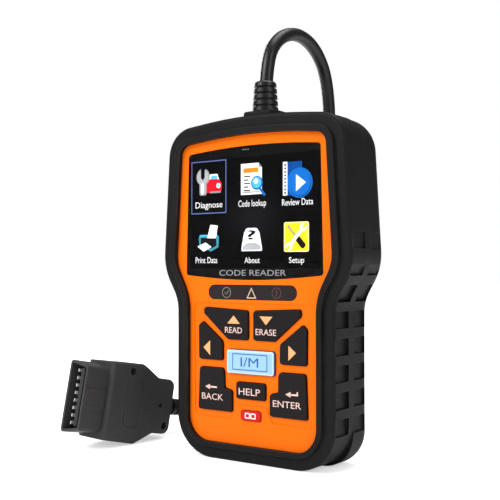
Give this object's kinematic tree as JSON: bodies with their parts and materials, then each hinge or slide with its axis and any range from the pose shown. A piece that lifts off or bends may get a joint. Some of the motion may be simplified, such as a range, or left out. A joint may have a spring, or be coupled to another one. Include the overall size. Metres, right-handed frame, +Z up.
{
  "type": "vehicle diagnostic code reader",
  "caption": "Hand-held vehicle fault-code reader: cased display and keypad in a rubber boot, with a cable that ends in a diagnostic plug.",
  "frame": {"origin": "middle of the foot that the reader stands on, midway between the boot's front rim and back", "axes": "+Z up the reader's height, display and keys face -Y, +X to the right as the user reads the display"},
  "size_m": [0.1632, 0.1744, 0.2262],
  "materials": {
    "boot_rubber": "matt, fine moulded texture",
    "orange_plastic": "satin orange",
    "black_plastic": "fine texture",
    "label_film": "satin",
    "lens_plastic": "polished",
    "foam_rubber": "foam",
    "panel_glass": "polished",
    "holder_plastic": "plain",
    "strip_plastic": "smoked",
    "led_plastic": "clear",
    "key_plastic": "satin",
    "blue_key_plastic": "satin",
    "red_key_plastic": "satin",
    "mat_silicone": "matt",
    "spring_steel": "plain",
    "board_laminate": "solder mask",
    "chip_epoxy": "matt",
    "part_aluminium": "plain",
    "connector_plastic": "plain",
    "wire_sleeve": "plain",
    "screw_steel": "blackened",
    "insert_brass": "knurled",
    "cable_rubber": "satin",
    "tie_fabric": "woven loop",
    "plug_plastic": "fine texture",
    "pin_metal": "plated"
  },
  "bodies": {
    "reader": {"rubber_boot": "boot_rubber", "front_cover": "orange_plastic", "rear_cover": "black_plastic", "rear_label": "label_film", "display_lens": "lens_plastic", "display_gasket": "foam_rubber", "display_panel": "panel_glass", "display_holder": "holder_plastic", "light_strip": "strip_plastic", "light_guide": "holder_plastic", "status_leds": "led_plastic", "keypad_mat": "mat_silicone", "key_domes": "spring_steel", "main_board": "board_laminate", "board_chips": "chip_epoxy", "board_passives": "part_aluminium", "buzzer": "chip_epoxy", "cable_header": "connector_plastic", "wire_harness": "wire_sleeve", "usb_socket": "spring_steel", "board_screws": "screw_steel", "thread_inserts": "insert_brass", "case_screws": "screw_steel", "strain_relief": "cable_rubber", "cable_upper": "cable_rubber", "cable_coil": "cable_rubber", "coil_tie": "tie_fabric", "cable_lower": "cable_rubber", "plug_shell": "plug_plastic", "plug_tongue": "plug_plastic", "plug_pins": "pin_metal", "plug_cover_near": "plug_plastic", "plug_cover_far": "plug_plastic", "plug_screws": "screw_steel", "plug_strain_relief": "cable_rubber"},
    "key_up": {"key_up": "key_plastic"},
    "key_down": {"key_down": "key_plastic"},
    "key_left": {"key_left": "key_plastic"},
    "key_right": {"key_right": "key_plastic"},
    "key_back": {"key_back": "key_plastic"},
    "key_enter": {"key_enter": "key_plastic"},
    "key_help": {"key_help": "key_plastic"},
    "key_ready": {"key_ready": "blue_key_plastic"},
    "key_red": {"key_red": "red_key_plastic"}
  },
  "joints": [
    {"name": "up_press", "type": "slide", "parent": "reader", "child": "key_up", "axis": [0, 1, 0], "range_m": [0, 0.0008], "stiffness_N_per_m": 1500, "springref_m": -0.0003},
    {"name": "down_press", "type": "slide", "parent": "reader", "child": "key_down", "axis": [0, 1, 0], "range_m": [0, 0.0008], "stiffness_N_per_m": 1500, "springref_m": -0.0003},
    {"name": "left_press", "type": "slide", "parent": "reader", "child": "key_left", "axis": [0, 1, 0], "range_m": [0, 0.0008], "stiffness_N_per_m": 1500, "springref_m": -0.0003},
    {"name": "right_press", "type": "slide", "parent": "reader", "child": "key_right", "axis": [0, 1, 0], "range_m": [0, 0.0008], "stiffness_N_per_m": 1500, "springref_m": -0.0003},
    {"name": "back_press", "type": "slide", "parent": "reader", "child": "key_back", "axis": [0, 1, 0], "range_m": [0, 0.0008], "stiffness_N_per_m": 1500, "springref_m": -0.0003},
    {"name": "enter_press", "type": "slide", "parent": "reader", "child": "key_enter", "axis": [0, 1, 0], "range_m": [0, 0.0008], "stiffness_N_per_m": 1500, "springref_m": -0.0003},
    {"name": "help_press", "type": "slide", "parent": "reader", "child": "key_help", "axis": [0, 1, 0], "range_m": [0, 0.0008], "stiffness_N_per_m": 1500, "springref_m": -0.0003},
    {"name": "ready_press", "type": "slide", "parent": "reader", "child": "key_ready", "axis": [0, 1, 0], "range_m": [0, 0.0008], "stiffness_N_per_m": 1500, "springref_m": -0.0003},
    {"name": "red_press", "type": "slide", "parent": "reader", "child": "key_red", "axis": [0, 1, 0], "range_m": [0, 0.0008], "stiffness_N_per_m": 1500, "springref_m": -0.0003}
  ]
}
